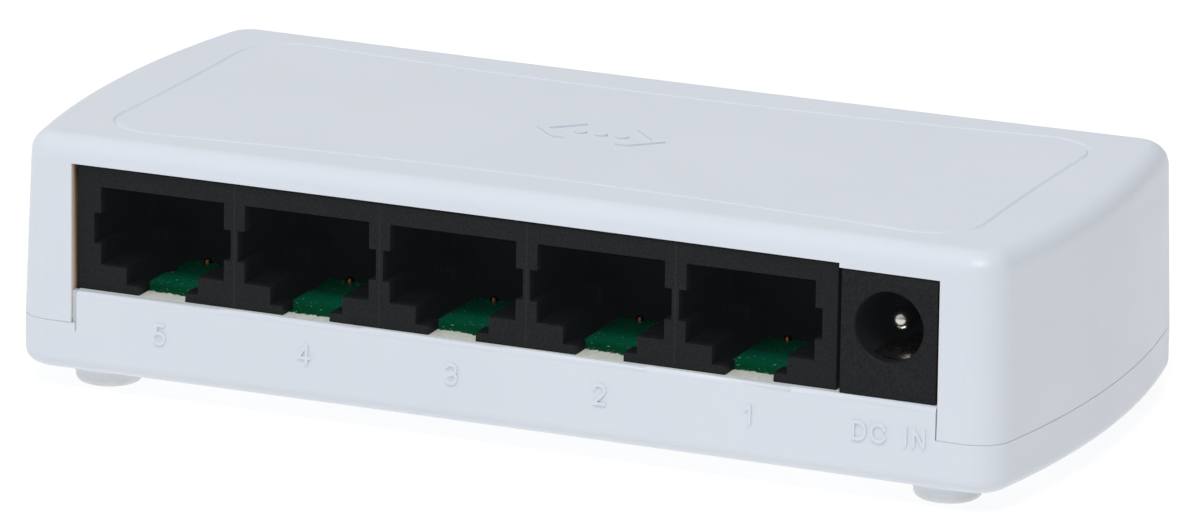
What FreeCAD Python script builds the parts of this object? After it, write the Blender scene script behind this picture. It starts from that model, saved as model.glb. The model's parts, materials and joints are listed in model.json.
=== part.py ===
"""Five-port desktop network switch.

Frame: millimetres, +Z up. The origin is on the surface the feet stand on, under the centre of the case.
The port face looks along -Y, and +X is to the right when that face is seen from outside.
"""
import FreeCAD, Part
import math
import os

V = FreeCAD.Vector
X_AXIS, Y_AXIS, Z_AXIS = V(1, 0, 0), V(0, 1, 0), V(0, 0, 1)

# Case
case_width = 97.2          # across the bulge of the side faces
case_depth = 45.0          # at the corners
case_height = 23.2         # feet included
side_bow = 2.45            # how far each side face bulges outwards
end_bow = 0.4              # how far the port face and the back face are hollowed
case_corner_radius = 3.3
top_edge_radius = 2.0
tray_edge_radius = 1.4
seam_edge_radius = 0.12
rim_edge_radius = 0.1
case_wall = 1.8
top_wall = 1.7
floor_wall = 1.6
draft_deg = 1.6
foot_height = 1.0
boss_height = 0.95
seam_z = 6.5
lip_thickness = 0.8
lip_height = 0.9
lip_gap = 0.1

# Circuit board
board_thickness = 1.6
board_top = 9.5
board_half_width = 42.3
board_rear = 19.4
board_screw_xy = [(-38.0, 15.0), (38.0, 15.0)]
board_rest_xy = [(-38.0, -1.5), (38.0, -1.5)]

# Ports: the modular jack standard sets the pitch and the opening
port_count = 5
port_pitch = 13.97
contact_pitch = 1.016
contacts_per_port = 8
jack_recess = 1.08         # the jacks' faces behind the corners of the port face
opening_width = 11.97
opening_top = 9.5          # heights here are above the board
ledge_top = 2.4
flange_top = 0.8
flange_depth = 2.2
latch_slot_width = 6.95
flange_window_width = 4.5
side_notch_depth = 0.67
side_notch_low, side_notch_high = 4.3, 7.1
jack_height = 11.5
sill_gap, sill_thickness, sill_height = 0.05, 0.2, 1.1     # the low wall at the back of a latch slot
jack_depth = 16.0
jack_left = -40.87
jack_left_wall = 2.25
jack_right_wall = 2.05
spring_angle_deg = 24.0
spring_length = 8.5
contact_width = 0.4
contact_thickness = 0.3
bend_radius = 0.35
hinge_gap = 0.08

# DC inlet
inlet_width = 8.8
inlet_height = 11.0
inlet_depth = 14.2
inlet_gap = 0.49
inlet_proud = 0.45           # how far its face stands in front of the jacks' faces
inlet_bore_radius = 3.12
inlet_bore_height = 6.32
inlet_mouth_chamfer = 0.12
inlet_bore_depth = 9.4
inlet_pin_radius = 1.0
inlet_pin_root_radius = 1.2
inlet_pin_setback = 2.2

# Case cut-out and the number panel
cutout_left, cutout_right = -41.1, 40.9            # at the height of the board's top
cutout_lean = 0.16                                 # how far both sides lean to the left, higher up
cutout_top = 20.97
inlet_cutout_top = 20.56
panel_left_gap, panel_right_gap = 0.55, 0.08
panel_edge_radius = 0.5
panel_end_recess = 0.3        # the step that closes the gap at the panel's left end
panel_end_fit = 0.05
notch_height, notch_depth, notch_width = 0.75, 0.1, 0.16     # the panel's left edge, below the seam
panel_top = board_top - 0.05
groove_corner_radius = 5.0
groove_depth, groove_half_mouth = 0.18, 0.3
number_height, letter_height = 1.7, 1.5
number_pitch = 14.03
number_offset = 0.28          # of the middle number from the middle port
figure_stroke = 0.26
figure_plate = 1.2            # how far a figure's strokes reach back into the panel
figure_relief = 0.16
symbol_relief = 0.15

# Worked out from the above
half_width, half_depth = case_width / 2, case_depth / 2
tray_bottom = foot_height + boss_height
board_bottom = board_top - board_thickness
jack_face = -half_depth + jack_recess
jack_rear = jack_face + jack_depth
jack_width = jack_left_wall + (port_count - 1) * port_pitch + opening_width + jack_right_wall
jack_right = jack_left + jack_width
port_x = [jack_left + jack_left_wall + opening_width / 2 + i * port_pitch for i in range(port_count)]
inlet_left = jack_right + inlet_gap
inlet_x = inlet_left + inlet_width / 2
inlet_z = board_top + inlet_bore_height
inlet_face = jack_face - inlet_proud
inlet_rear = inlet_face + inlet_depth
ceiling = case_height - top_wall
foot_xy = [(-40.0, -16.8), (40.0, -16.8), (-40.0, 16.8), (40.0, 16.8)]
foot_names = ["front_left", "front_right", "rear_left", "rear_right"]
case_screw_xy = [(-42.0, 4.0), (42.0, 4.0)]


# ---------------------------------------------------------------- shape helpers
def box(x0, x1, y0, y1, z0, z1):
    return Part.makeBox(x1 - x0, y1 - y0, z1 - z0, V(x0, y0, z0))


def centred_box(x, y, z0, width, depth, height):
    return box(x - width / 2, x + width / 2, y - depth / 2, y + depth / 2, z0, z0 + height)


def post(x, y, z0, z1, radius):
    return Part.makeCylinder(radius, z1 - z0, V(x, y, z0), Z_AXIS)


def rod_y(x, z, y0, y1, radius):
    return Part.makeCylinder(radius, y1 - y0, V(x, y0, z), Y_AXIS)


def rod_x(y, z, x0, x1, radius):
    return Part.makeCylinder(radius, x1 - x0, V(x0, y, z), X_AXIS)


def slab_x(yz, x0, x1):
    """A closed outline in the YZ plane, extruded along X."""
    points = [V(x0, y, z) for y, z in yz + yz[:1]]
    return Part.Face(Part.makePolygon(points)).extrude(V(x1 - x0, 0, 0))


def turned(rz, x, y):
    """A closed outline of radius and height, turned about a vertical axis."""
    points = [V(r, 0, z) for r, z in rz + rz[:1]]
    solid = Part.Face(Part.makePolygon(points)).revolve(V(0, 0, 0), Z_AXIS, 360)
    solid.translate(V(x, y, 0))
    return solid


def joined(shapes):
    whole = shapes[0].multiFuse(shapes[1:]) if len(shapes) > 1 else shapes[0]
    return whole.removeSplitter()


def bowed_outline(corner_x, corner_y, side_x, end_y, z):
    """Four arcs through the corners, the middle of each side and the middle of each end."""
    def arc(a, b, c):
        return Part.Arc(V(*a, z), V(*b, z), V(*c, z)).toShape()
    front = arc((-corner_x, -corner_y), (0, -end_y), (corner_x, -corner_y))
    right = arc((corner_x, -corner_y), (side_x, 0), (corner_x, corner_y))
    back = arc((corner_x, corner_y), (0, end_y), (-corner_x, corner_y))
    left = arc((-corner_x, corner_y), (-side_x, 0), (-corner_x, -corner_y))
    return Part.Wire([front, right, back, left])


def bowed_block(low_outline, high_outline, corner_radius):
    block = Part.makeLoft([low_outline, high_outline], True, True)
    upright = [e for e in block.Edges if abs(e.BoundBox.ZLength) > 0.9 * block.BoundBox.ZLength]
    return block.makeFillet(corner_radius, upright)


def edges_at(shape, z):
    return [e for e in shape.Edges if abs(e.BoundBox.ZMin - z) < 1e-3 and abs(e.BoundBox.ZMax - z) < 1e-3]


def case_outline(inset, z):
    return bowed_outline(half_width - side_bow - inset, half_depth - inset,
                         half_width - inset, half_depth - end_bow - inset, z)


def case_block(z0, z1, inset, corner_radius):
    """Part of the cover's form, inset by a wall, narrowing by the draft towards the top."""
    taper = (z1 - z0) * math.tan(math.radians(draft_deg))
    return bowed_block(case_outline(inset, z0), case_outline(inset + taper, z1), corner_radius)


def straight_case_block(z0, z1, inset, corner_radius):
    """Part of the tray's form, with upright sides."""
    return bowed_block(case_outline(inset, z0), case_outline(inset, z1), corner_radius)


# ---------------------------------------------------------------- raised figures
def stroke_line(a, b):
    """One straight stroke of a raised figure: a plate in the XZ plane with round ends."""
    a, b = V(a[0], 0, a[1]), V(b[0], 0, b[1])
    along = b.sub(a).normalize() * (figure_stroke / 2)
    side = V(-along.z, 0, along.x)
    outline = Part.Wire([Part.makeLine(a.add(side), b.add(side)),
                         Part.Arc(b.add(side), b.add(along), b.sub(side)).toShape(),
                         Part.makeLine(b.sub(side), a.sub(side)),
                         Part.Arc(a.sub(side), a.sub(along), a.add(side)).toShape()])
    return Part.Face(outline).extrude(V(0, figure_plate, 0))


def stroke_arc(cx, cz, radius, start_deg, end_deg):
    """One round stroke with round ends; angles are counted from +X towards +Z."""
    def at(distance, degrees):
        angle = math.radians(degrees)
        return V(cx + distance * math.cos(angle), 0, cz + distance * math.sin(angle))
    outer, inner = radius + figure_stroke / 2, radius - figure_stroke / 2
    middle = (start_deg + end_deg) / 2
    cap = math.degrees(figure_stroke / 2 / radius)
    around = [at(outer, start_deg), at(outer, middle), at(outer, end_deg), at(radius, end_deg + cap),
              at(inner, end_deg), at(inner, middle), at(inner, start_deg), at(radius, start_deg - cap),
              at(outer, start_deg)]
    arcs = [Part.Arc(*around[i:i + 3]).toShape() for i in (0, 2, 4, 6)]
    return Part.Face(Part.Wire(arcs)).extrude(V(0, figure_plate, 0))


def figure(name, h):
    """The strokes of one character, h high, standing on z = 0 and centred on x = 0."""
    r = h * 0.29
    bowl = h * 0.42
    if name == "1":
        return [stroke_line((0.05, 0), (0.05, h)), stroke_line((0.05, h), (-0.32, h * 0.76))]
    if name == "2":
        return [stroke_arc(0, h - r, r, -35, 165), stroke_line((r * 0.82, h - r * 1.57), (-r, 0)),
                stroke_line((-r, 0), (r, 0))]
    if name == "3":
        return [stroke_arc(0, h - r * 0.92, r * 0.92, -90, 150), stroke_arc(0, r, r, -150, 90)]
    if name == "4":
        return [stroke_line((0.2, 0), (0.2, h)), stroke_line((0.2, h), (-0.55, h * 0.3)),
                stroke_line((-0.55, h * 0.3), (0.5, h * 0.3))]
    if name == "5":
        return [stroke_arc(0, r, r, -150, 130), stroke_line((-r * 0.64, r * 1.77), (-r * 0.5, h)),
                stroke_line((-r * 0.5, h), (r * 0.9, h))]
    if name == "D":
        stem_x, bowl_x, right_x = -0.53, -0.1, bowl - 0.1
        return [stroke_line((stem_x, 0), (stem_x, h)), stroke_line((stem_x, h), (bowl_x, h)),
                stroke_line((stem_x, 0), (bowl_x, 0)), stroke_arc(bowl_x, h - bowl, bowl, 0, 90),
                stroke_line((right_x, bowl), (right_x, h - bowl)), stroke_arc(bowl_x, bowl, bowl, -90, 0)]
    if name == "C":
        return [stroke_arc(0, h - bowl, bowl, 20, 180), stroke_line((-bowl, bowl), (-bowl, h - bowl)),
                stroke_arc(0, bowl, bowl, 180, 340)]
    if name == "I":
        return [stroke_line((0, 0), (0, h))]
    left, right = -0.47, 0.47
    return [stroke_line((left, 0), (left, h)), stroke_line((left, h), (right, 0)),
            stroke_line((right, 0), (right, h))]


def raised_figures():
    """Port numbers under the ports and DC IN under the inlet, standing figure_relief proud of the panel."""
    relief = straight_case_block(tray_bottom, panel_top, -figure_relief, case_corner_radius)
    middle = port_count // 2
    first_x = port_x[middle] + number_offset - middle * number_pitch
    texts = [(str(port_count - i), first_x + i * number_pitch, number_height) for i in range(port_count)]
    texts += [(name, inlet_x + offset, letter_height)
              for name, offset in (("D", -2.32), ("C", -0.53), ("I", 1.97), ("N", 3.19))]
    figures = []
    for name, x, height in texts:
        strokes = figure(name, height)
        solid = strokes[0].multiFuse(strokes[1:]) if len(strokes) > 1 else strokes[0]
        solid.translate(V(x, -half_depth - 0.5, seam_z - height / 2))
        figures.append(solid.common(relief))
    return figures


# ---------------------------------------------------------------- case
def top_groove():
    """A shallow V-groove that frames the top face, with long sides that bow inwards."""
    def frame(grow, z):
        sharp = bowed_outline(41.3, 17.9, 40.9, 15.3, z)
        return sharp.makeOffset2D(-groove_corner_radius).makeOffset2D(groove_corner_radius + grow)

    def plug(bottom, mouth):
        low, high = frame(bottom, case_height - groove_depth), frame(mouth, case_height + 0.05)
        return Part.makeLoft([low, high], True, True)
    return plug(0.03, groove_half_mouth).cut(plug(-0.03, -groove_half_mouth))


def network_symbol():
    """A generic local-network symbol on the top face: three dots between two chevrons."""
    low, high = case_height - 0.3, case_height + symbol_relief
    marks = [post(x, 0, low, high, 0.6) for x in (-2.0, 0.0, 2.0)]
    for side in (-1, 1):
        tip, arm = V(side * 6.2, 0, low), 2.6
        points = [tip, tip.add(V(-side * arm, arm, 0)), tip.add(V(-side * (arm + 1.2), arm, 0)),
                  tip.add(V(-side * 1.2, 0, 0)), tip.add(V(-side * (arm + 1.2), -arm, 0)),
                  tip.add(V(-side * arm, -arm, 0)), tip]
        marks.append(Part.Face(Part.makePolygon(points)).extrude(V(0, 0, high - low)))
    return marks


def top_cover():
    outer = case_block(seam_z, case_height, 0, case_corner_radius)
    outer = outer.makeFillet(top_edge_radius, edges_at(outer, case_height))
    outer = outer.makeFillet(seam_edge_radius, edges_at(outer, seam_z))
    inner_radius = case_corner_radius - case_wall
    room = case_block(seam_z, ceiling, case_wall, inner_radius)
    rebate_inset = case_wall - lip_thickness - lip_gap
    rebate = case_block(seam_z, seam_z + lip_height + lip_gap, rebate_inset, inner_radius + lip_thickness)
    cover = outer.cut(room).cut(rebate).cut(top_groove())
    bosses = [post(x, y, seam_z + 0.1, ceiling + 0.3, 2.9) for x, y in case_screw_xy]
    cover = joined([cover] + bosses + network_symbol())
    cut_front, cut_back = -half_depth - 1, -half_depth + 3.2
    step_x = jack_right + inlet_gap / 2
    outline = [(cutout_left, board_top), (cutout_left - cutout_lean, cutout_top), (step_x, cutout_top),
               (step_x, inlet_cutout_top), (cutout_right - cutout_lean, inlet_cutout_top),
               (cutout_right, board_top), (cutout_right, seam_z - 1), (cutout_left, seam_z - 1)]
    points = [V(x, cut_front, z) for x, z in outline + outline[:1]]
    cuts = [Part.Face(Part.makePolygon(points)).extrude(V(0, cut_back - cut_front, 0))]
    cuts += [post(x, y, seam_z, 15.0, 1.2) for x, y in case_screw_xy]
    cuts += [rod_y(x, lamp_z, half_depth - 3, half_depth + 1, lamp_radius + 0.1) for x in lamp_x]
    cover = cover.cut(Part.Compound(cuts))
    upright = [e for e in cover.Edges if e.BoundBox.XLength < 0.3 and e.BoundBox.ZLength > 5
               and e.BoundBox.YMax < -half_depth + 0.9]
    return cover.makeFillet(rim_edge_radius, upright)


def bottom_tray():
    outer = straight_case_block(tray_bottom, seam_z, 0, case_corner_radius)
    outer = outer.makeFillet(tray_edge_radius, edges_at(outer, tray_bottom))
    outer = outer.makeFillet(seam_edge_radius, edges_at(outer, seam_z))
    inner_radius = case_corner_radius - case_wall
    floor = tray_bottom + floor_wall
    tray = outer.cut(straight_case_block(floor, seam_z + 1, case_wall, inner_radius))
    lip = straight_case_block(seam_z - 1, seam_z + lip_height, case_wall - lip_thickness,
                              inner_radius + lip_thickness)
    lip = lip.cut(straight_case_block(seam_z - 2, seam_z + lip_height + 1, case_wall, inner_radius))
    lip = lip.cut(box(cutout_left - 1, cutout_right + 1, -half_depth - 1, -half_depth + 3, 0, 20))
    left, right = cutout_left + panel_left_gap, cutout_right - panel_right_gap
    front, back = -half_depth - 1, jack_face - 0.05
    skin = straight_case_block(seam_z - 1, panel_top, 0, case_corner_radius)
    skin = skin.makeFillet(panel_edge_radius, edges_at(skin, panel_top))
    panel = skin.common(box(left, right, front, back, seam_z - 1, panel_top))
    end_skin = straight_case_block(seam_z - 1, panel_top, panel_end_recess, case_corner_radius)
    end_x = cutout_left + panel_end_fit
    end = end_skin.common(box(end_x, left + 1, front, back, seam_z - 1, panel_top))
    notch = box(left - notch_width, left, front, back, seam_z - notch_height, seam_z)
    notch = notch.cut(straight_case_block(tray_bottom, seam_z + 1, notch_depth, case_corner_radius))
    backing = skin.common(box(left, right, front, -half_depth + case_wall, seam_z - 1, board_bottom - 0.1))
    solids = [tray, lip, panel, end, backing]
    for x, y in foot_xy:
        solids.append(turned([(0, foot_height), (3.1, foot_height), (3.12, foot_height + 0.35),
                              (3.3, foot_height + 0.6), (3.65, foot_height + 0.82),
                              (4.1, tray_bottom), (4.1, floor), (0, floor)], x, y))
    for x, y in board_screw_xy + board_rest_xy:
        solids.append(post(x, y, floor - 0.2, board_bottom, 2.6))
    for x, y in case_screw_xy:
        solids.append(post(x, y, floor - 0.2, seam_z, 3.6))
    tray = joined(solids).multiFuse(raised_figures())
    cuts = [notch]
    cuts += [post(x, y, foot_height - 1, foot_height + 1.4, 1.8) for x, y in foot_xy]
    cuts += [post(x, y, floor + 0.25, board_bottom + 1, 1.0) for x, y in board_screw_xy]
    for x, y in case_screw_xy:
        cuts += [post(x, y, 0, seam_z + 1, 1.45), post(x, y, 0, floor + 0.4, 2.6)]
    for row in (-1, 1):
        for i in range(9):
            slot_x = (i - 4) * 5.0
            cuts.append(box(slot_x - 0.8, slot_x + 0.8, row * 8.5 - 5, row * 8.5 + 5, 0, floor + 1))
    return tray.cut(Part.Compound(cuts))


def foot(x, y):
    """A soft round foot: a disc with a rolled edge and a stem pressed into the tray's boss."""
    disc = post(x, y, 0, foot_height, 3.0)
    disc = disc.makeFillet(0.6, edges_at(disc, 0))
    return joined([disc, post(x, y, foot_height - 0.2, foot_height + 1.3, 1.75)])


def cross_head_screw(x, y, head_z, direction, head_radius, head_height, shank_radius, length):
    """A pan-head screw whose shank runs from head_z along direction (+1 up, -1 down)."""
    axis = V(0, 0, direction)
    head = Part.makeCylinder(head_radius, head_height, V(x, y, head_z), axis * -1)
    far = head_z - direction * head_height
    head = head.makeFillet(head_height * 0.45, edges_at(head, far))
    shank = Part.makeCylinder(shank_radius, length, V(x, y, head_z - direction * 0.1), axis)
    tip_z = head_z + direction * (length - 0.1)
    shank = shank.makeChamfer(shank_radius * 0.5, edges_at(shank, tip_z))
    arm, blade, depth = head_radius * 0.55, head_radius * 0.13, head_height * 0.6
    low = min(far, far + direction * depth)
    recess = joined([box(x - arm, x + arm, y - blade, y + blade, low, low + depth),
                     box(x - blade, x + blade, y - arm, y + arm, low, low + depth)])
    return joined([head, shank]).cut(recess)


def case_screws():
    head_z = tray_bottom + floor_wall + 0.4
    return [cross_head_screw(x, y, head_z, 1, 2.3, 1.5, 1.15, 9.0) for x, y in case_screw_xy]


def board_screws():
    return [cross_head_screw(x, y, board_top, -1, 2.2, 1.4, 0.95, 5.4) for x, y in board_screw_xy]


# ---------------------------------------------------------------- circuit board
lamp_x = [-20.0 + 8.0 * i for i in range(port_count + 1)]
lamp_z = 14.5
lamp_radius = 1.2
lamp_y = 16.8
tail_rows = (jack_rear - 0.4, jack_rear - 2.94)
tail_length = 2.6          # below the board's top


def contact_x(port, index):
    return port_x[port] + (index - (contacts_per_port - 1) / 2) * contact_pitch


def tail_y(index):
    return tail_rows[index % 2]


peg_xy = [(port_x[0] - 4.6, jack_face + 9.0), (port_x[-1] + 4.6, jack_face + 9.0)]


def circuit_board():
    tongue = cutout_right - 0.2
    board = joined([box(-board_half_width, board_half_width, -half_depth + case_wall + 0.4, board_rear,
                        board_bottom, board_top),
                    box(-tongue, tongue, jack_face, 0, board_bottom, board_top)])
    corners = [e for e in board.Edges if e.BoundBox.ZLength > 1 and e.BoundBox.YMin > board_rear - 0.01]
    board = board.makeFillet(2.0, corners)
    holes = [(x, y, 3.4) for x, y in case_screw_xy]
    holes += [(x, y, 1.3) for x, y in board_screw_xy]
    holes += [(x, y, 1.65) for x, y in peg_xy]
    holes += [(contact_x(p, i), tail_y(i), 0.42) for p in range(port_count) for i in range(contacts_per_port)]
    holes += [(x, y, 1.45) for x, y in inlet_tail_xy]
    cuts = [post(x, y, board_bottom - 1, board_top + 1, r) for x, y, r in holes]
    return board.cut(Part.Compound(cuts))


# ---------------------------------------------------------------- ganged modular jack
insert_front = jack_face + 13.0
insert_half_width = 5.9
tongue_front = jack_face + 3.0
plug_stop_y = jack_face + 8.3
plug_stop_height = 1.45
lead_z = board_top + 9.8           # middle of the leads' run above the openings
hinge_y = jack_face + 3.9
hinge_z = lead_z - bend_radius + contact_thickness / 2
insert_top = board_top + 10.85
slot_width = contact_width + 0.12


def rj45_housing():
    z = board_top
    block = box(jack_left, jack_right, jack_face, jack_rear, z, z + jack_height)
    top_edges = [e for e in edges_at(block, z + jack_height) if e.BoundBox.XLength < 0.01
                 or e.BoundBox.YMin < jack_face + 0.01 and e.BoundBox.YMax < jack_face + 0.01]
    block = block.makeChamfer(0.3, top_edges)
    cuts = []
    half = opening_width / 2
    for x in port_x:
        cuts.append(box(x - half, x + half, jack_face - 1, insert_front, z + ledge_top, z + opening_top))
        notch = half + side_notch_depth
        cuts.append(box(x - notch, x + notch, jack_face - 1, jack_face + 10.5,
                        z + side_notch_low, z + side_notch_high))
        slot = latch_slot_width / 2
        cuts.append(box(x - slot, x + slot, jack_face - 1, insert_front,
                        z + flange_top, z + ledge_top + 0.1))
        flange_rear = jack_face + flange_depth
        window = flange_window_width / 2
        top = z + flange_top + 0.1
        cuts.append(box(x - window, x + window, jack_face - 1, flange_rear + 0.1, z - 1, top))
        cuts.append(box(x - slot, x + slot, flange_rear, insert_front, z - 1, top))
        bay = insert_half_width + 0.1
        cuts.append(box(x - bay, x + bay, insert_front - 0.1, jack_rear + 1, z - 1, insert_top + 0.1))
        cuts.append(box(x - 5.2, x + 5.2, tongue_front - 0.1, insert_front + 0.1,
                        z + opening_top - 0.1, insert_top + 0.1))
    block = block.cut(Part.Compound(cuts))
    pegs = [post(x, y, board_bottom - 1.2, z + 0.5, 1.5) for x, y in peg_xy]
    stops = [plug_stop(x, side) for x in port_x for side in (-1, 1)]
    sill_half, sill_rear = latch_slot_width / 2 + 0.3, insert_front - sill_gap
    sills = [box(x - sill_half, x + sill_half, sill_rear - sill_thickness, sill_rear, z, z + sill_height)
             for x in port_x]
    return joined([block] + pegs + stops + sills)


def plug_stop(x, side):
    """The ribbed step on one ledge, beside the latch slot, that the nose of a plug comes up against."""
    inner, outer = latch_slot_width / 2, opening_width / 2 + 0.1
    base, top = board_top + ledge_top, board_top + ledge_top + plug_stop_height
    x0, x1 = sorted((x + side * inner, x + side * outer))
    step = box(x0, x1, plug_stop_y, insert_front - 0.6, base - 0.1, top)
    rib_pitch = (outer - inner) / 5
    grooves = [box(x0 + rib_pitch * (i + 0.7), x0 + rib_pitch * (i + 1), plug_stop_y - 1, plug_stop_y + 0.25,
                   base + 0.3, top + 1) for i in range(4)]
    return step.cut(Part.Compound(grooves))


def contact_carrier(port):
    """The insert that slides in from the rear: a back wall with comb fins and a tongue over the leads."""
    x = port_x[port]
    z = board_top
    wall = box(x - insert_half_width, x + insert_half_width, insert_front, jack_rear, z + 0.9, insert_top)
    slot_half_height = contact_thickness / 2 + 0.05
    tongue = box(x - 5.1, x + 5.1, tongue_front, insert_front + 0.5, lead_z + slot_half_height, insert_top)
    solids = [wall, tongue]
    for i in range(contacts_per_port + 1):
        fin_x = contact_x(port, i) - contact_pitch / 2
        solids.append(slab_x([(insert_front + 0.1, z + 6.0), (insert_front - 1.7, z + 6.6),
                              (insert_front - 1.7, z + 7.9), (insert_front + 0.1, z + 9.0)],
                             fin_x - 0.16, fin_x + 0.16))
    cuts = []
    for i in range(contacts_per_port):
        cx = contact_x(port, i)
        half = slot_width / 2
        cuts.append(box(cx - half, cx + half, jack_rear - 0.8, jack_rear + 1, z, insert_top + 1))
        cuts.append(box(cx - half, cx + half, insert_front - 1, jack_rear + 1,
                        lead_z - slot_half_height, lead_z + slot_half_height))
    return joined(solids).cut(Part.Compound(cuts)).removeSplitter()


def contact_leads(port):
    """The fixed half of each contact: solder tail, rise up the back and run forward over the opening."""
    solids = []
    half = contact_width / 2
    t = contact_thickness
    rise_y = tail_rows[0]
    for i in range(contacts_per_port):
        x0, x1 = contact_x(port, i) - half, contact_x(port, i) + half
        y = tail_y(i)
        tail = box(x0, x1, y - t / 2, y + t / 2, board_top - tail_length, board_top + 0.5)
        jog = box(x0, x1, y - t / 2, rise_y + t / 2, board_top + 0.3, board_top + 0.3 + t)
        rise = box(x0, x1, rise_y - t / 2, rise_y + t / 2, board_top + 0.3, lead_z + t / 2)
        run = box(x0, x1, hinge_y, rise_y + t / 2, lead_z - t / 2, lead_z + t / 2)
        lead = joined([tail, jog, rise, run])
        solids.append(lead.cut(rod_x(hinge_y, hinge_z, x0 - 1, x1 + 1, bend_radius + hinge_gap)))
    return solids


def contact_springs(port):
    """The sprung half of each contact: a rolled bend, and a beam that slopes down and back."""
    slope = math.radians(spring_angle_deg)
    along = (math.cos(slope), -math.sin(slope))
    across = (math.sin(slope), math.cos(slope))
    half = contact_width / 2
    t = contact_thickness

    def at(distance, offset):
        return (hinge_y + along[0] * distance + across[0] * offset,
                hinge_z + along[1] * distance + across[1] * offset)
    solids = []
    for i in range(contacts_per_port):
        x0, x1 = contact_x(port, i) - half, contact_x(port, i) + half
        roll = rod_x(hinge_y, hinge_z, x0, x1, bend_radius)
        low = -bend_radius
        yz = [at(0, low), at(spring_length, low), at(spring_length, low + t), at(0, low + t)]
        beam = slab_x(yz, x0, x1)
        tip = rod_x(*at(spring_length, low + t / 2), x0, x1, t / 2)
        solids.append(joined([roll, beam, tip]))
    return solids


# ---------------------------------------------------------------- DC inlet
leaf_hinge_y = inlet_face + inlet_bore_depth - 0.2
leaf_hinge_z = inlet_z - inlet_bore_radius - 0.35
leaf_thickness = 0.3
leaf_half_width = 1.5
leaf_post_y = leaf_hinge_y + 1.1
switch_x0, switch_x1 = inlet_x + 3.25, inlet_x + 3.55
pin_plate_y0, pin_plate_y1 = inlet_rear + 0.05, inlet_rear + 0.45
inlet_tail_depth = 3.0             # below the board's top
inlet_tail_xy = [(inlet_x, inlet_rear + 0.2), (inlet_x, leaf_post_y + 0.1),
                 (inlet_x + 3.4, inlet_face + 10.5)]


def dc_inlet_housing():
    z = board_top
    right, shoulder_top = inlet_left + inlet_width, z + inlet_height - 0.6
    flange = box(inlet_left, right, inlet_face, inlet_face + 3.4, z, z + inlet_height)
    flange = flange.makeChamfer(0.12, edges_at(flange, z + inlet_height))
    body = box(inlet_left + 0.3, right - 0.3, inlet_face + 3.2, inlet_rear, z, shoulder_top)
    crown = [e for e in edges_at(body, shoulder_top) if e.BoundBox.YLength > 1]
    body = body.makeFillet(2.2, crown)
    housing = joined([flange, body])
    bore = rod_y(inlet_x, inlet_z, inlet_face - 1, inlet_face + inlet_bore_depth, inlet_bore_radius)
    mouth = Part.makeCone(inlet_bore_radius + inlet_mouth_chamfer, inlet_bore_radius, inlet_mouth_chamfer,
                          V(inlet_x, inlet_face, inlet_z), Y_AXIS)
    pin_hole = rod_y(inlet_x, inlet_z, inlet_face, inlet_rear + 1, inlet_pin_root_radius + 0.02)
    slot_half = leaf_half_width + 0.25
    leaf_slot = box(inlet_x - slot_half, inlet_x + slot_half, inlet_face + 1.1,
                    inlet_face + inlet_bore_depth + 2.2, z + 1.5, inlet_z - 1.5)
    tail_slot = box(inlet_x - 1.3, inlet_x + 1.3, leaf_post_y - 0.2, leaf_post_y + 0.5, z - 1, z + 2)
    side_slot = box(inlet_x + 2.0, inlet_x + 3.7, inlet_face + 3.6, inlet_face + 11.2, z + 4.4, z + 5.7)
    side_tail = box(inlet_x + 3.1, inlet_x + 3.7, inlet_face + 9.4, inlet_face + 11.4, z - 1, z + 5.7)
    return housing.cut(Part.Compound([bore, mouth, pin_hole, leaf_slot, tail_slot, side_slot, side_tail]))


def dc_centre_pin():
    tip_y = inlet_face + inlet_pin_setback
    shoulder_y = inlet_face + inlet_bore_depth
    stem = rod_y(inlet_x, inlet_z, tip_y + inlet_pin_radius, shoulder_y, inlet_pin_radius)
    root = rod_y(inlet_x, inlet_z, shoulder_y, inlet_rear + 0.1, inlet_pin_root_radius)
    ball = Part.makeSphere(inlet_pin_radius, V(inlet_x, tip_y + inlet_pin_radius, inlet_z))
    plate = box(inlet_x - 1.6, inlet_x + 1.6, pin_plate_y0, pin_plate_y1, board_top + 0.4, inlet_z + 1.6)
    tail = box(inlet_x - 1.0, inlet_x + 1.0, pin_plate_y0, pin_plate_y1,
               board_top - inlet_tail_depth, board_top + 1)
    return joined([stem, root, ball, plate, tail])


def dc_sleeve_terminal():
    """The fixed tail that carries the sprung leaf."""
    tail = box(inlet_x - 1.0, inlet_x + 1.0, leaf_post_y, leaf_post_y + leaf_thickness,
               board_top - inlet_tail_depth, leaf_hinge_z)
    half = leaf_thickness / 2
    shelf = box(inlet_x - leaf_half_width, inlet_x + leaf_half_width, leaf_hinge_y,
                leaf_post_y + leaf_thickness, leaf_hinge_z - half, leaf_hinge_z + half)
    return joined([tail, shelf]).cut(rod_x(leaf_hinge_y, leaf_hinge_z, inlet_x - 3, inlet_x + 3,
                                           bend_radius + hinge_gap))


def dc_sleeve_spring():
    """The sprung leaf: it arches up into the bore and presses on a plug's sleeve."""
    front_y, crest_y = inlet_face + 1.6, inlet_face + 3.9
    crest_z = inlet_z - inlet_bore_radius + 0.65
    x0, x1 = inlet_x - leaf_half_width, inlet_x + leaf_half_width

    def arch(lift):
        start = V(x0, leaf_hinge_y, leaf_hinge_z - leaf_thickness / 2 + lift)
        crest_low = crest_z - leaf_thickness + lift
        end = V(x0, front_y, leaf_hinge_z + 0.1 + lift)
        poles = [start, V(x0, start.y - 2.6, start.z + 0.05), V(x0, crest_y + 0.9, crest_low + 0.15),
                 V(x0, crest_y - 0.7, crest_low + 0.15), end]
        return Part.BSplineCurve(poles).toShape(), start, end
    low, low_start, low_end = arch(0)
    high, high_start, high_end = arch(leaf_thickness)
    outline = Part.Wire([low, Part.makeLine(low_end, high_end), high, Part.makeLine(high_start, low_start)])
    leaf = Part.Face(outline).extrude(V(x1 - x0, 0, 0))
    return joined([leaf, rod_x(leaf_hinge_y, leaf_hinge_z, x0, x1, bend_radius)])


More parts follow.
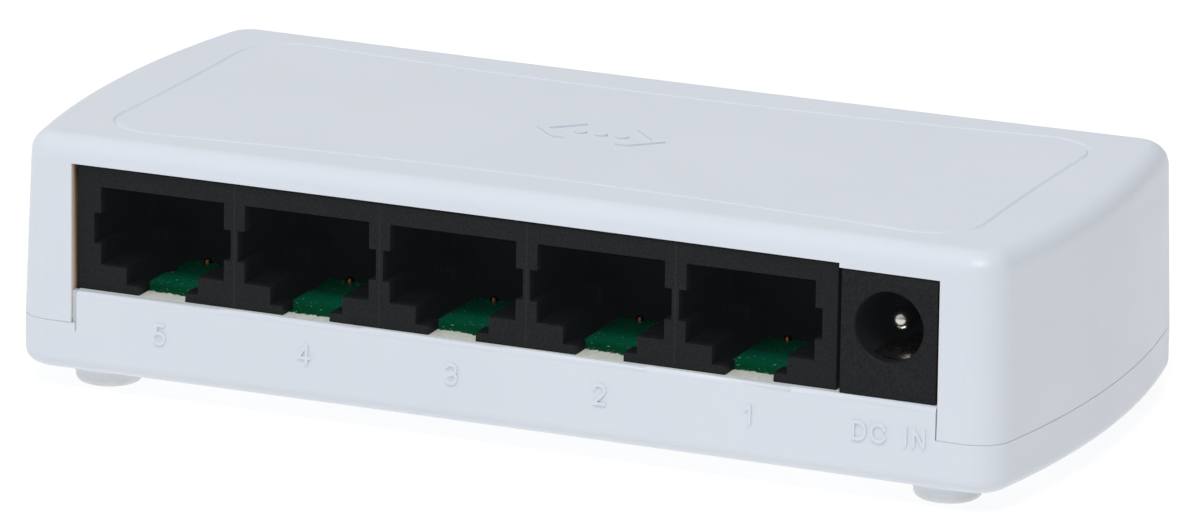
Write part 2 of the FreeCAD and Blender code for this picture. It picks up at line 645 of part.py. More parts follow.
def dc_switch_terminal():
    """The side contact that opens when a plug is in."""
    back_y = inlet_face + 11.0
    blade = box(switch_x0, switch_x1, inlet_face + 3.9, back_y, board_top + 4.55, board_top + 5.55)
    tail = box(switch_x0, switch_x1, inlet_face + 9.7, back_y, board_top - inlet_tail_depth, board_top + 4.8)
    return joined([blade, tail])


# ---------------------------------------------------------------- parts on the board
def gull_wing(x, y, direction, reach, height, width):
    """One bent lead: out of a body at height, down, and flat on the board, along +Y or -Y."""
    t = 0.18
    yz = [(0, height), (reach * 0.45, height), (reach * 0.6, t), (reach, t), (reach, 0),
          (reach * 0.48, 0), (reach * 0.33, height - t), (0, height - t)]
    return slab_x([(y + direction * a, board_top + b) for a, b in yz], x - width / 2, x + width / 2)


def chip_body(x, y, width, depth, lift, height):
    body = centred_box(x, y, board_top + lift, width, depth, height)
    return body.makeChamfer(min(0.3, height * 0.2), edges_at(body, board_top + lift + height))


transformer_x = [-29.0, -8.0, 13.0]
transformer_y = 0.6
transformer_size = (15.0, 7.0, 4.6)


def transformer(x):
    width, depth, height = transformer_size
    return chip_body(x, transformer_y, width, depth, 0.3, height)


def transformer_leads():
    width, depth, height = transformer_size
    leads = []
    for x in transformer_x:
        for i in range(8):
            lead_x = x + (i - 3.5) * 1.78
            for side in (-1, 1):
                leads.append(gull_wing(lead_x, transformer_y + side * depth / 2, side, 1.4, 1.2, 0.5))
    return leads


switch_chip_xy = (-6.0, 10.4)
switch_chip_side = 7.0


def switch_chip():
    body = chip_body(*switch_chip_xy, switch_chip_side, switch_chip_side, 0.1, 1.2)
    dot = post(switch_chip_xy[0] - 2.7, switch_chip_xy[1] - 2.7, board_top + 1.2, board_top + 1.5, 0.4)
    return body.cut(dot)


def switch_chip_leads():
    x, y = switch_chip_xy
    leads = []
    for i in range(12):
        offset = (i - 5.5) * 0.5
        for side in (-1, 1):
            leads.append(gull_wing(x + offset, y + side * switch_chip_side / 2, side, 1.0, 0.75, 0.22))
            turned_lead = gull_wing(offset, switch_chip_side / 2, 1, 1.0, 0.75, 0.22)
            turned_lead.rotate(V(0, 0, 0), Z_AXIS, -90 * side)
            turned_lead.translate(V(x, y, 0))
            leads.append(turned_lead)
    return leads


def can_capacitor(x, y, radius, height):
    """An aluminium can on a square plastic base."""
    can = post(x, y, board_top + 0.6, board_top + height, radius)
    groove = post(x, y, board_top + 1.3, board_top + 1.7, radius + 1).cut(
        post(x, y, board_top + 1.3, board_top + 1.7, radius - 0.2))
    can = can.makeFillet(0.4, edges_at(can, board_top + height)).cut(groove)
    return can


def capacitor_base(x, y, side):
    base = centred_box(x, y, board_top, side, side, 0.6)
    corners = [e for e in base.Edges if e.BoundBox.ZLength > 0.5 and e.BoundBox.YMin > y]
    return base.makeChamfer(side * 0.15, corners)


capacitors = [(30.5, -1.2, 3.15, 5.8), (37.0, 9.0, 2.5, 5.4)]


def crystal():
    can = centred_box(6.5, 10.0, board_top + 0.3, 11.0, 4.6, 3.2)
    upright = [e for e in can.Edges if e.BoundBox.ZLength > 1]
    can = can.makeFillet(2.2, upright)
    return joined([can, centred_box(6.5, 10.0, board_top, 11.0, 4.0, 0.4)])


def power_inductor():
    body = centred_box(28.5, 11.5, board_top, 5.0, 5.0, 3.0)
    upright = [e for e in body.Edges if e.BoundBox.ZLength > 1]
    return body.makeChamfer(0.9, upright)


def regulator():
    return chip_body(22.0, 11.5, 4.9, 3.9, 0.1, 1.4)


def regulator_leads():
    return [gull_wing(22.0 + (i - 1.5) * 1.27, 11.5 + side * 1.95, side, 1.05, 0.8, 0.42)
            for i in range(4) for side in (-1, 1)]


def chip_row(count, x, y, step_x, step_y, size):
    return [centred_box(x + i * step_x, y + i * step_y, board_top, *size) for i in range(count)]


def chip_capacitors():
    small, large = (1.6, 0.8, 0.8), (2.0, 1.25, 1.1)
    return (chip_row(4, -13.5, 6.5, 0, 2.2, small) + chip_row(4, 1.0, 14.0, 3.0, 0, small)
            + chip_row(3, 27.0, 16.6, 3.2, 0, large) + chip_row(3, -35.0, 7.2, 3.4, 0, large))


def chip_resistors():
    size = (1.6, 0.8, 0.45)
    per_lamp = (lamp_x[-1] - lamp_x[0]) / len(lamp_x)
    return (chip_row(len(lamp_x), lamp_x[0] + 3.0, lamp_y + 1.0, per_lamp, 0, size)
            + chip_row(5, -18.0, 7.0, 0, 1.6, size) + chip_row(4, 14.5, 8.0, 0, 1.8, size))


def status_lamps():
    lamps = []
    for x in lamp_x:
        base = centred_box(x, lamp_y, board_top, 1.6, 0.8, 0.35)
        dome = centred_box(x, lamp_y, board_top + 0.3, 1.1, 0.8, 0.4)
        lamps.append(joined([base, dome]))
    return lamps


def light_guide():
    """A clear moulding: an upright prism over each lamp turns its light out through the back wall."""
    low = board_top + 1.1
    r = lamp_radius
    w = r + 0.15
    solids = []
    for x in lamp_x:
        prism = slab_x([(lamp_y - w, low), (lamp_y + w, low), (lamp_y + w, lamp_z + w),
                        (lamp_y + w * 0.6, lamp_z + w), (lamp_y - w, lamp_z - w * 0.6)], x - w, x + w)
        solids += [prism, rod_y(x, lamp_z, lamp_y, half_depth - end_bow - 0.25, r)]
    span = lamp_x[-1] + 2.9
    leg_width = 1.6
    solids.append(box(-span, span, lamp_y - r, lamp_y + r * 0.5, low + 0.8, low + 2.0))
    for side in (-1, 1):
        leg_x = side * (span - leg_width / 2)
        solids.append(centred_box(leg_x, lamp_y, board_top, leg_width, 2.0, low + 1.6 - board_top))
    return joined(solids)


# ---------------------------------------------------------------- write the parts
def nodes():
    parts = {"top_cover": [top_cover()], "bottom_tray": [bottom_tray()]}
    for name, (x, y) in zip(foot_names, foot_xy):
        parts["foot_" + name] = [foot(x, y)]
    parts["case_screws"] = case_screws()
    parts["board_screws"] = board_screws()
    parts["circuit_board"] = [circuit_board()]
    parts["rj45_housing"] = [rj45_housing()]
    for port in range(port_count):
        label = "port_%d_" % (port_count - port)
        parts[label + "contact_carrier"] = [contact_carrier(port)]
        parts[label + "contact_leads"] = contact_leads(port)
        parts[label + "contact_springs"] = contact_springs(port)
    parts["dc_inlet_housing"] = [dc_inlet_housing()]
    parts["dc_centre_pin"] = [dc_centre_pin()]
    parts["dc_sleeve_terminal"] = [dc_sleeve_terminal()]
    parts["dc_sleeve_spring"] = [dc_sleeve_spring()]
    parts["dc_switch_terminal"] = [dc_switch_terminal()]
    for i, x in enumerate(transformer_x):
        parts["line_transformer_%d" % (i + 1)] = [transformer(x)]
    parts["line_transformer_leads"] = transformer_leads()
    parts["switch_chip"] = [switch_chip()]
    parts["switch_chip_leads"] = switch_chip_leads()
    for i, (x, y, radius, height) in enumerate(capacitors):
        parts["can_capacitor_%d" % (i + 1)] = [can_capacitor(x, y, radius, height)]
    parts["can_capacitor_bases"] = [capacitor_base(x, y, 2 * radius + 0.4) for x, y, radius, _ in capacitors]
    parts["crystal"] = [crystal()]
    parts["power_inductor"] = [power_inductor()]
    parts["regulator_chip"] = [regulator()]
    parts["regulator_leads"] = regulator_leads()
    parts["chip_capacitors"] = chip_capacitors()
    parts["chip_resistors"] = chip_resistors()
    parts["status_lamps"] = status_lamps()
    parts["light_guide"] = [light_guide()]
    return parts


def main():
    os.makedirs("parts", exist_ok=True)
    for name, solids in nodes().items():
        shape = solids[0] if len(solids) == 1 else Part.Compound(solids)
        print("%-28s solids %2d  valid %s" % (name, len(shape.Solids), shape.isValid()))
        shape.exportStep("parts/" + name + ".step")


main()
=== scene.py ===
"""Looks of the five-port desktop network switch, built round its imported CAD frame, in metres."""
import json
import math

import bmesh
import bpy
from mathutils import Matrix, Vector

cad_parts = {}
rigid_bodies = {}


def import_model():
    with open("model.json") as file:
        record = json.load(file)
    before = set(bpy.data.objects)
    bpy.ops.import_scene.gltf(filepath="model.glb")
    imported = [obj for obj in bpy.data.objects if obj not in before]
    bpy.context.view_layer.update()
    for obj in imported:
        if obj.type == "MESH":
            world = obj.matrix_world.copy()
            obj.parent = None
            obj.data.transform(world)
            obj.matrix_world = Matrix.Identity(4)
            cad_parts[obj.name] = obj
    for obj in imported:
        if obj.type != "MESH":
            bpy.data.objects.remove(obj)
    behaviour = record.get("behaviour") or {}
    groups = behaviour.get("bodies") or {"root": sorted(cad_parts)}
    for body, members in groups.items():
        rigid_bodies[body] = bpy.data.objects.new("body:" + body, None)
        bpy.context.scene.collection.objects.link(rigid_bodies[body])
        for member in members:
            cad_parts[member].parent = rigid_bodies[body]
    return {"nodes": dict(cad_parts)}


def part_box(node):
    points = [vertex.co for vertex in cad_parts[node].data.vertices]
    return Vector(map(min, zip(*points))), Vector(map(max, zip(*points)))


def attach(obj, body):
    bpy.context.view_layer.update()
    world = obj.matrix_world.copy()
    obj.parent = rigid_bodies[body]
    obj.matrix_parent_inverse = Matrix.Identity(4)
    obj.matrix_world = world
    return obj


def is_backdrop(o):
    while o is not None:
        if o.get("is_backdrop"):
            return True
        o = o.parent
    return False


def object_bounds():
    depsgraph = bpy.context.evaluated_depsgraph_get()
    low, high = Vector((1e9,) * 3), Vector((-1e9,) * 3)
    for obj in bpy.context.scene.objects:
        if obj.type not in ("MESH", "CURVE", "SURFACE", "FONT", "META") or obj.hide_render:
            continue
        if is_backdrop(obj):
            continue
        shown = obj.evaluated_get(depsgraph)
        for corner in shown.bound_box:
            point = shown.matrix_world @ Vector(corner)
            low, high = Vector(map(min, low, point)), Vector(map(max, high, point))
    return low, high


for item in list(bpy.data.objects):
    bpy.data.objects.remove(item)
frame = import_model()
cad_low, cad_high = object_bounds()

MM = 0.001
PORTS = (5, 4, 3, 2, 1)            # from left to right, seen from the port face
OPENING_LEAN = 0.16 * MM           # to the left, from the board's top up to the jacks' top

board_low, board_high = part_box("circuit_board")
jack_low, jack_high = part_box("rj45_housing")
inlet_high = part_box("dc_inlet_housing")[1]
case_front = cad_low.y
jack_front = jack_low.y
board_top = board_high.z
opening_left = jack_low.x - 0.23 * MM
opening_right = inlet_high.x + 0.33 * MM
port_centre = {}
for port in PORTS:
    low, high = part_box("port_%d_contact_springs" % port)
    port_centre[port] = (low.x + high.x) / 2


# ---------------------------------------------------------------- material helpers
def node(tree, kind, values=None, **settings):
    """A new node with its settings, and the values of its named inputs."""
    made = tree.nodes.new(kind)
    for key, value in settings.items():
        setattr(made, key, value)
    for key, value in (values or {}).items():
        made.inputs[key].default_value = value
    return made


def new_material(name, colour, roughness, metallic=0.0, specular=0.5):
    """A material with its plain values, which textures then cover."""
    made = bpy.data.materials.new(name)
    made.use_nodes = True
    shader = made.node_tree.nodes["Principled BSDF"]
    shader.inputs["Base Color"].default_value = (*colour, 1)
    shader.inputs["Roughness"].default_value = roughness
    shader.inputs["Metallic"].default_value = metallic
    shader.inputs["Specular IOR Level"].default_value = specular
    return made, made.node_tree, shader


def surface(tree, shader, colour, roughness, normal):
    """Gives the shader its three textures."""
    tree.links.new(colour, shader.inputs["Base Color"])
    tree.links.new(roughness, shader.inputs["Roughness"])
    tree.links.new(normal, shader.inputs["Normal"])


def own_place(tree):
    """The point in the object's own coordinates, which are the frame's metres."""
    return node(tree, "ShaderNodeTexCoord").outputs["Object"]


def split(tree, place):
    """The three coordinates of a point: to the right, to the back and up."""
    made = node(tree, "ShaderNodeSeparateXYZ")
    tree.links.new(place, made.inputs["Vector"])
    return made.outputs["X"], made.outputs["Y"], made.outputs["Z"]


def scaled(tree, place, factors):
    """The point with each coordinate multiplied by its own factor."""
    made = node(tree, "ShaderNodeMapping", {"Scale": factors})
    tree.links.new(place, made.inputs["Vector"])
    return made.outputs["Vector"]


def noise(tree, place, size, detail=3.0, rough=0.55):
    """Noise whose blotches are about size metres across."""
    made = node(tree, "ShaderNodeTexNoise", {"Scale": 1 / size, "Detail": detail, "Roughness": rough})
    tree.links.new(place, made.inputs["Vector"])
    return made.outputs["Fac"]


def spread(tree, value, from_low, from_high, to_low=0.0, to_high=1.0):
    """Maps one range on to another, and holds the result at the ends of the second."""
    made = node(tree, "ShaderNodeMapRange", {"From Min": from_low, "From Max": from_high,
                                             "To Min": to_low, "To Max": to_high})
    tree.links.new(value, made.inputs["Value"])
    return made.outputs["Result"]


def contrast(tree, value, to_low=0.0, to_high=1.0):
    """Spreads a noise over a range: most of its values lie between 0.3 and 0.7."""
    return spread(tree, value, 0.3, 0.7, to_low, to_high)


def math_node(tree, operation, a, b):
    """One operation on two values. Each is a number or a socket."""
    made = node(tree, "ShaderNodeMath", operation=operation)
    for value, socket in ((a, made.inputs[0]), (b, made.inputs[1])):
        if isinstance(value, float):
            socket.default_value = value
        else:
            tree.links.new(value, socket)
    return made.outputs[0]


def product(tree, *values):
    """All the values multiplied together."""
    total = values[0]
    for value in values[1:]:
        total = math_node(tree, "MULTIPLY", total, value)
    return total


def within(tree, value, low, high, soft):
    """1 where value lies between low and high, and 0 outside, with soft edges."""
    rise = spread(tree, value, low - soft, low + soft)
    fall = spread(tree, value, high - soft, high + soft, 1.0, 0.0)
    return product(tree, rise, fall)


def mix(tree, factor, a, b):
    """Colour a where factor is 0 and b where it is 1. Each is a colour or a socket."""
    made = node(tree, "ShaderNodeMix", data_type="RGBA")
    tree.links.new(factor, made.inputs["Factor"])
    colour_inputs = [socket for socket in made.inputs if socket.type == "RGBA"]
    for value, socket in zip((a, b), colour_inputs):
        if isinstance(value, tuple):
            socket.default_value = (*value, 1)
        else:
            tree.links.new(value, socket)
    return [socket for socket in made.outputs if socket.type == "RGBA"][0]


def bump(tree, height, depth, strength=1.0, under=None):
    """A relief of depth metres, on top of the relief under it."""
    made = node(tree, "ShaderNodeBump", {"Strength": strength, "Distance": depth})
    tree.links.new(height, made.inputs["Height"])
    if under is not None:
        tree.links.new(under, made.inputs["Normal"])
    return made.outputs["Normal"]


# ---------------------------------------------------------------- materials
def white_abs():
    """Satin ABS from a finely eroded mould, faintly cloudy, with a low swell from moulding."""
    made, tree, shader = new_material("white_abs", (0.70, 0.735, 0.788), 0.36)
    place = own_place(tree)
    across, along, up = split(tree, place)
    cloud = contrast(tree, noise(tree, place, 18 * MM, 4.0))
    colour = mix(tree, cloud, (0.684, 0.722, 0.784), (0.704, 0.740, 0.803))

    # Painted light and shade: the wall at the opening's left end is painted warm cream at the front, as if
    # lit, and shaded brown farther in.
    lean = spread(tree, up, board_top, jack_high.z, 0.0, OPENING_LEAN)
    upright = math_node(tree, "ADD", across, lean)
    left_end_painted_light_and_shade = product(
        tree,
        within(tree, along, case_front + 0.30 * MM, case_front + 4 * MM, 0.06 * MM),
        within(tree, up, board_low.z - MM, jack_high.z - 0.04 * MM, 0.02 * MM),
        within(tree, upright, opening_left - 0.03 * MM, opening_left + 0.12 * MM, 0.02 * MM))
    depth = spread(tree, along, case_front + 0.55 * MM, jack_front + 0.2 * MM)
    painted_warm_light_cream, painted_shade_brown = (1.0, 0.92, 0.80), (0.42, 0.25, 0.15)
    colour = mix(tree, left_end_painted_light_and_shade, colour, mix(tree, depth, painted_warm_light_cream, painted_shade_brown))

    # Painted highlight: a faint cream line follows the opening's right end, where its rounded edge would
    # catch the light.
    painted_highlight_right_end = product(
        tree,
        within(tree, upright, opening_right - 0.05 * MM, opening_right + 0.08 * MM, 0.05 * MM),
        within(tree, up, board_top + 0.1 * MM, inlet_high.z, 0.1 * MM),
        0.8)
    colour = mix(tree, painted_highlight_right_end, colour, (0.82, 0.76, 0.66))

    # Painted shade: the narrow gap at the panel's left end is painted grey.
    painted_shade_end_gap = product(
        tree,
        within(tree, across, opening_left + 0.03 * MM, opening_left + 0.54 * MM, 0.01 * MM),
        within(tree, up, board_low.z - 2 * MM, board_top, 0.02 * MM),
        within(tree, along, case_front + 0.22 * MM, jack_front, 0.02 * MM),
        0.75)
    colour = mix(tree, painted_shade_end_gap, colour, (0.47, 0.52, 0.52))

    # A faint mould line runs up the front face near each end.
    witness = product(
        tree,
        within(tree, math_node(tree, "ABSOLUTE", across, 0.0), 43.36 * MM, 43.44 * MM, 0.03 * MM),
        within(tree, along, case_front - MM, case_front + 2 * MM, MM))
    swell = bump(tree, noise(tree, place, 12 * MM, 2.0), 0.04 * MM, 0.5)
    grain = bump(tree, noise(tree, place, 0.22 * MM, 2.0), 0.006 * MM, 0.6, swell)
    relief = bump(tree, witness, 0.008 * MM, 1.0, grain)
    satin = contrast(tree, noise(tree, place, 6 * MM, 5.0), 0.33, 0.42)
    surface(tree, shader, colour, satin, relief)
    shader.inputs["Subsurface Weight"].default_value = 0.06
    shader.inputs["Subsurface Radius"].default_value = (1.0, 0.8, 0.6)
    shader.inputs["Subsurface Scale"].default_value = 0.6 * MM
    return made


def soft_foot():
    """Pale matt rubber with a little dust on it."""
    made, tree, shader = new_material("soft_foot", (0.76, 0.79, 0.81), 0.6, specular=0.3)
    place = own_place(tree)
    dust = noise(tree, place, 1.6 * MM, 5.0)
    colour = mix(tree, spread(tree, dust, 0.35, 0.75), (0.77, 0.79, 0.79), (0.66, 0.68, 0.68))
    dull = spread(tree, dust, 0.2, 0.8, 0.5, 0.75)
    relief = bump(tree, noise(tree, place, 0.3 * MM), 0.02 * MM, 0.5)
    surface(tree, shader, colour, dull, relief)
    return made


def solder_mask():
    """Glossy green lacquer over glass cloth, and bare pale laminate along the board's front edge."""
    made, tree, shader = new_material("solder_mask", (0.01, 0.2, 0.09), 0.22)
    place = own_place(tree)
    along = split(tree, place)[1]
    threads = []
    for direction in ("X", "Y"):
        wave = node(tree, "ShaderNodeTexWave", {"Scale": 900.0, "Distortion": 1.5, "Detail": 1.0},
                    bands_direction=direction)
        tree.links.new(place, wave.inputs["Vector"])
        threads.append(wave.outputs["Fac"])
    cloth = product(tree, *threads)
    cloud = contrast(tree, noise(tree, place, 4 * MM, 4.0))
    green = mix(tree, cloud, (0.001, 0.074, 0.028), (0.002, 0.108, 0.041))
    green = mix(tree, spread(tree, cloth, 0.3, 1.0, 0.0, 0.35), green, (0.006, 0.145, 0.060))

    # Painted light: farther back, where less light comes in, the lacquer is painted lighter. Pale dust lies
    # on all of it.
    painted_light_deeper = spread(tree, along, jack_front + 3.5 * MM, jack_front + 8 * MM)
    green = mix(tree, painted_light_deeper, green, (0.003, 0.36, 0.185))
    dust = spread(tree, noise(tree, place, 0.35 * MM, 1.0), 0.72, 0.735, 0.0, 0.9)
    green = mix(tree, dust, green, (0.70, 0.76, 0.72))

    # The lacquer stops short of the board's front edge, along a ragged line that wanders.
    rags = noise(tree, scaled(tree, place, (1.0, 0.35, 1.0)), 0.5 * MM, 3.0, 0.7)
    ragged = spread(tree, rags, 0.25, 0.75, -0.45 * MM, 0.45 * MM)
    drift = spread(tree, noise(tree, place, 6 * MM, 1.0), 0.35, 0.65, -0.6 * MM, 0.4 * MM)
    from_front = math_node(tree, "ADD", math_node(tree, "ADD", along, ragged), drift)
    bare = spread(tree, from_front, jack_front + 1.50 * MM, jack_front + 1.65 * MM, 1.0, 0.0)
    fibre = noise(tree, scaled(tree, place, (8.0, 1.0, 1.0)), 1.2 * MM, 4.0, 0.7)
    laminate = mix(tree, spread(tree, fibre, 0.3, 0.75), (0.88, 0.88, 0.81), (0.58, 0.63, 0.54))
    fleck = bump(tree, noise(tree, place, 0.6 * MM, 4.0), 0.03 * MM, 0.6)
    relief = bump(tree, cloth, 0.01 * MM, 0.6, fleck)
    surface(tree, shader, mix(tree, bare, green, laminate), spread(tree, bare, 0.0, 1.0, 0.2, 0.7), relief)
    return made


def black_pbt():
    """Glass-filled black PBT: a dull spark-eroded skin with fine sparkle and paler rubbed patches."""
    made, tree, shader = new_material("black_pbt", (0.010, 0.010, 0.011), 0.5, specular=0.11)
    # A very faint cool glow lifts the blacks to the level they have in the photo.
    shader.inputs["Emission Color"].default_value = (0.85, 0.95, 1.15, 1)
    shader.inputs["Emission Strength"].default_value = 0.0042
    place = own_place(tree)
    across, along = split(tree, place)[:2]
    grain = noise(tree, place, 0.20 * MM, 3.0, 0.7)
    speckle = spread(tree, grain, 0.35, 0.72)
    colour = mix(tree, speckle, (0.004, 0.0045, 0.005), (0.017, 0.018, 0.0195))
    rub = spread(tree, noise(tree, place, 3.5 * MM, 5.0), 0.55, 0.8, 0.0, 0.35)
    colour = mix(tree, rub, colour, (0.020, 0.020, 0.022))

    # A faint split line runs down the middle of each post between two ports.
    pitch = (port_centre[1] - port_centre[5]) / 4
    from_start = math_node(tree, "SUBTRACT", across, port_centre[5] - pitch * 1.5)
    from_post = math_node(tree, "PINGPONG", from_start, pitch / 2)
    seam = product(
        tree,
        within(tree, from_post, -0.05 * MM, 0.045 * MM, 0.015 * MM),
        within(tree, along, jack_front - 0.05 * MM, jack_front + 0.05 * MM, 0.01 * MM),
        within(tree, across, port_centre[5], port_centre[1], 0.1 * MM),
        0.5)
    colour = mix(tree, seam, colour, (0.03, 0.03, 0.032))

    # Painted shade: inside the ports the walls are painted darker, and made duller, than the front face.
    # The inlet is left as it is.
    painted_shade_inner = product(
        tree,
        spread(tree, along, jack_front + 0.2 * MM, jack_front + 1.2 * MM),
        spread(tree, across, jack_high.x, jack_high.x + 0.1 * MM, 1.0, 0.0))
    colour = mix(tree, product(tree, painted_shade_inner, 0.6), colour, (0.002, 0.002, 0.002))
    tree.links.new(spread(tree, painted_shade_inner, 0.0, 1.0, 0.11, 0.05), shader.inputs["Specular IOR Level"])
    rounded = node(tree, "ShaderNodeBevel", {"Radius": 0.12 * MM}, samples=6)
    relief = bump(tree, grain, 0.03 * MM, 0.7, rounded.outputs["Normal"])
    surface(tree, shader, colour, contrast(tree, grain, 0.40, 0.58), relief)
    return made


def drawn_metal(name, colour, dull, roughness):
    """A metal with fine drawing lines and slight tarnish."""
    made, tree, shader = new_material(name, colour, roughness, metallic=1.0)
    place = own_place(tree)
    tarnish = spread(tree, noise(tree, place, 0.9 * MM, 5.0), 0.4, 0.75)
    lines = noise(tree, scaled(tree, place, (1.0, 0.06, 1.0)), 0.08 * MM, 2.0)
    surface(tree, shader, mix(tree, tarnish, colour, dull),
            contrast(tree, lines, roughness * 0.75, roughness * 1.4), bump(tree, lines, 0.004 * MM, 0.5))
    return made


def matt_chip():
    """The gritty black epoxy that chips are moulded in."""
    made, tree, shader = new_material("chip_epoxy", (0.022, 0.022, 0.024), 0.6)
    grit = noise(tree, own_place(tree), 0.12 * MM, 3.0, 0.7)
    surface(tree, shader, mix(tree, grit, (0.015, 0.015, 0.017), (0.036, 0.036, 0.038)),
            contrast(tree, grit, 0.5, 0.72), bump(tree, grit, 0.01 * MM, 0.7))
    return made


def grainy(name, light, dark, size, roughness, depth):
    """A fired or cast material of two tones, with a relief of the same grain."""
    made, tree, shader = new_material(name, light, roughness)
    grain = noise(tree, own_place(tree), size, 4.0)
    surface(tree, shader, mix(tree, contrast(tree, grain), light, dark),
            contrast(tree, grain, roughness * 0.8, roughness * 1.2), bump(tree, grain, depth, 0.6))
    return made


def clear_acrylic():
    """Clear moulded acrylic with a slight haze."""
    made, tree, shader = new_material("clear_acrylic", (0.86, 0.90, 0.91), 0.12)
    haze = noise(tree, own_place(tree), 2 * MM, 4.0)
    surface(tree, shader, mix(tree, haze, (0.84, 0.89, 0.90), (0.94, 0.96, 0.97)),
            contrast(tree, haze, 0.06, 0.2), bump(tree, haze, 0.02 * MM, 0.3))
    shader.inputs["Transmission Weight"].default_value = 0.8
    shader.inputs["IOR"].default_value = 1.49
    return made


steel = drawn_metal("zinc_steel", (0.60, 0.61, 0.62), (0.42, 0.43, 0.45), 0.32)
copper = drawn_metal("bare_copper", (0.44, 0.19, 0.09), (0.20, 0.08, 0.04), 0.30)
material_of_slot = {
    "white_case": white_abs(),
    "foot_rubber": soft_foot(),
    "green_board": solder_mask(),
    "black_moulding": black_pbt(),
    "black_chip": matt_chip(),
    "clear_guide": clear_acrylic(),
    "gold_contact": drawn_metal("gold_plate", (0.83, 0.58, 0.24), (0.62, 0.40, 0.16), 0.24),
    "nickel_contact": drawn_metal("nickel_plate", (0.74, 0.71, 0.66), (0.52, 0.49, 0.45), 0.20),
    "tinned_lead": drawn_metal("tin_plate", (0.66, 0.66, 0.65), (0.46, 0.46, 0.45), 0.34),
    "aluminium_can": drawn_metal("brushed_aluminium", (0.78, 0.79, 0.80), (0.62, 0.63, 0.65), 0.30),
    "screw_steel": steel,
    "steel_can": steel,
    "ferrite": grainy("ferrite", (0.055, 0.053, 0.052), (0.028, 0.027, 0.027), 0.4 * MM, 0.62, 0.03 * MM),
    "tan_ceramic": grainy("tan_ceramic", (0.50, 0.36, 0.22), (0.38, 0.26, 0.15), 0.3 * MM, 0.45, 0.01 * MM),
    "lamp_resin": grainy("lamp_resin", (0.80, 0.78, 0.62), (0.66, 0.64, 0.48), 0.3 * MM, 0.3, 0.01 * MM),
}
for part in frame["nodes"].values():
    for material_slot in part.material_slots:
        material_slot.material = material_of_slot[material_slot.material.name.split(".")[0]]


# ---------------------------------------------------------------- added pieces
def piece(name, mesh_maker, material, body):
    """A new mesh piece that rides on a CAD body."""
    mesh = bmesh.new()
    mesh_maker(mesh)
    bmesh.ops.recalc_face_normals(mesh, faces=mesh.faces)
    data = bpy.data.meshes.new(name)
    mesh.to_mesh(data)
    mesh.free()
    made = bpy.data.objects.new(name, data)
    bpy.context.scene.collection.objects.link(made)
    data.materials.append(material)
    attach(made, body)
    return made


def turned(mesh, centre, profile, around):
    """Turns a profile of radius and height about the vertical through centre. Returns its last ring."""
    rings = []
    for radius, height in profile:
        ring = []
        for i in range(around):
            t = 2 * math.pi * i / around
            spot = (centre.x + radius * math.cos(t), centre.y + radius * math.sin(t), centre.z + height)
            ring.append(mesh.verts.new(spot))
        rings.append(ring)
    for below, above in zip(rings, rings[1:]):
        for i in range(around):
            j = (i + 1) % around
            mesh.faces.new((below[i], below[j], above[j], above[i]))
    return rings[-1]


def solder_dome(mesh, centre, radius, height, rows=6, around=20):
    """A rounded cap of solder with a thin foot that flares out on the board."""
    foot_height = 0.06 * MM
    profile = [(radius * 1.06, 0.0)]
    for i in range(rows):
        t = math.pi / 2 * i / rows
        profile.append((radius * math.cos(t), foot_height + (height - foot_height) * math.sin(t)))
    profile.append((radius * 0.04, height))
    top = turned(mesh, centre, profile, around)
    crown = mesh.verts.new((centre.x, centre.y, centre.z + height))
    for i in range(around):
        mesh.faces.new((top[i], top[(i + 1) % around], crown))


def slot_domes(mesh):
    """The end of a soldered pin at the back corner of each latch slot, let a little into the board."""
    left_of_port, behind_face, sink = 1.5 * MM, 12.5 * MM, 0.02 * MM
    for port in PORTS:
        centre = Vector((port_centre[port] - left_of_port, jack_front + behind_face, board_top - sink))
        solder_dome(mesh, centre, 0.40 * MM, 0.45 * MM)


piece("slot_solder_domes", slot_domes, copper, "case")


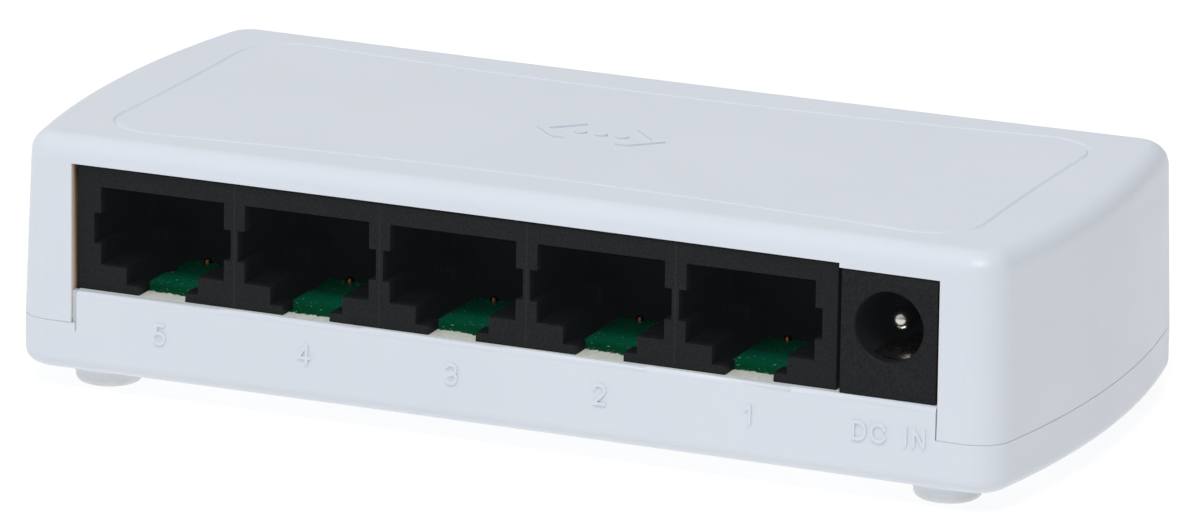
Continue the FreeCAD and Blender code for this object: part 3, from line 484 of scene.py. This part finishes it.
# ---------------------------------------------------------------- floor, light and camera
def floor():
    """Plain pale paper, with a glow of its own that makes it as white as the photo's background."""
    reach = 6.0
    corners = [(-reach, -reach, 0), (reach, -reach, 0), (reach, reach, 0), (-reach, reach, 0)]
    data = bpy.data.meshes.new("floor")
    data.from_pydata(corners, [], [(0, 1, 2, 3)])
    made = bpy.data.objects.new("floor", data)
    bpy.context.scene.collection.objects.link(made)
    material, tree, shader = new_material("pale_floor", (0.22, 0.22, 0.22), 0.6, specular=0.1)
    paper = noise(tree, own_place(tree), 4 * MM, 4.0)
    fibres = mix(tree, paper, (0.215, 0.215, 0.215), (0.225, 0.225, 0.225))
    tree.links.new(fibres, shader.inputs["Base Color"])
    shader.inputs["Emission Color"].default_value = (1, 1, 1, 1)
    shader.inputs["Emission Strength"].default_value = 0.81
    data.materials.append(material)
    made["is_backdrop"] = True


def softbox(name, place, aim, side, power):
    """A square white lamp of power watts, side metres across, that points at aim."""
    data = bpy.data.lights.new(name, "AREA")
    data.shape = "SQUARE"
    data.size = side
    data.energy = power
    made = bpy.data.objects.new(name, data)
    bpy.context.scene.collection.objects.link(made)
    made.location = place
    made.rotation_mode = "QUATERNION"
    made.rotation_quaternion = (Vector(aim) - Vector(place)).to_track_quat("-Z", "Y")


def studio():
    """A soft tent, brighter overhead and to the left, and one key light high in front and to the right."""
    level_ahead, gain_to_right, gain_overhead = 0.31, -0.29, 0.48
    cool_front, warm_back = (0.965, 1.0, 1.045), (1.0, 0.995, 0.98)
    world = bpy.data.worlds.new("studio")
    bpy.context.scene.world = world
    world.use_nodes = True
    tree = world.node_tree
    sky = tree.nodes["Background"]
    right, back, up = split(tree, node(tree, "ShaderNodeTexCoord").outputs["Generated"])
    level = math_node(tree, "ADD", product(tree, right, gain_to_right), level_ahead)
    overhead = product(tree, math_node(tree, "MAXIMUM", up, 0.0), gain_overhead)
    tree.links.new(math_node(tree, "ADD", level, overhead), sky.inputs["Strength"])
    tree.links.new(mix(tree, spread(tree, back, -1.0, 1.0), cool_front, warm_back), sky.inputs["Color"])
    softbox("key", place=(0.36, -1.0, 1.63), aim=(0.04, -0.02, 0.02), side=0.7, power=16.0)


def camera():
    """The view from the front right and above: 23 degrees round, 16 degrees up, with a slight roll."""
    azimuth, elevation, roll = math.radians(22.964), math.radians(15.795), math.radians(0.899)
    place = Vector((0.31833, -0.75101, 0.24214))
    back = Vector((math.sin(azimuth) * math.cos(elevation), -math.cos(azimuth) * math.cos(elevation),
                   math.sin(elevation)))
    level = Vector((math.cos(azimuth), math.sin(azimuth), 0))
    upright = back.cross(level)
    right = level * math.cos(roll) + upright * math.sin(roll)
    up = upright * math.cos(roll) - level * math.sin(roll)
    data = bpy.data.cameras.new("camera")
    data.sensor_width = 36.0
    data.lens = 286.72
    data.clip_start, data.clip_end = 0.05, 30.0
    made = bpy.data.objects.new("camera", data)
    bpy.context.scene.collection.objects.link(made)
    turn = Matrix((right, up, back)).transposed()
    made.matrix_world = Matrix.Translation(place) @ turn.to_4x4()
    bpy.context.scene.camera = made


floor()
studio()
camera()
bpy.context.scene.view_settings.view_transform = "Standard"
bpy.context.scene.view_settings.look = "None"

low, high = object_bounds()
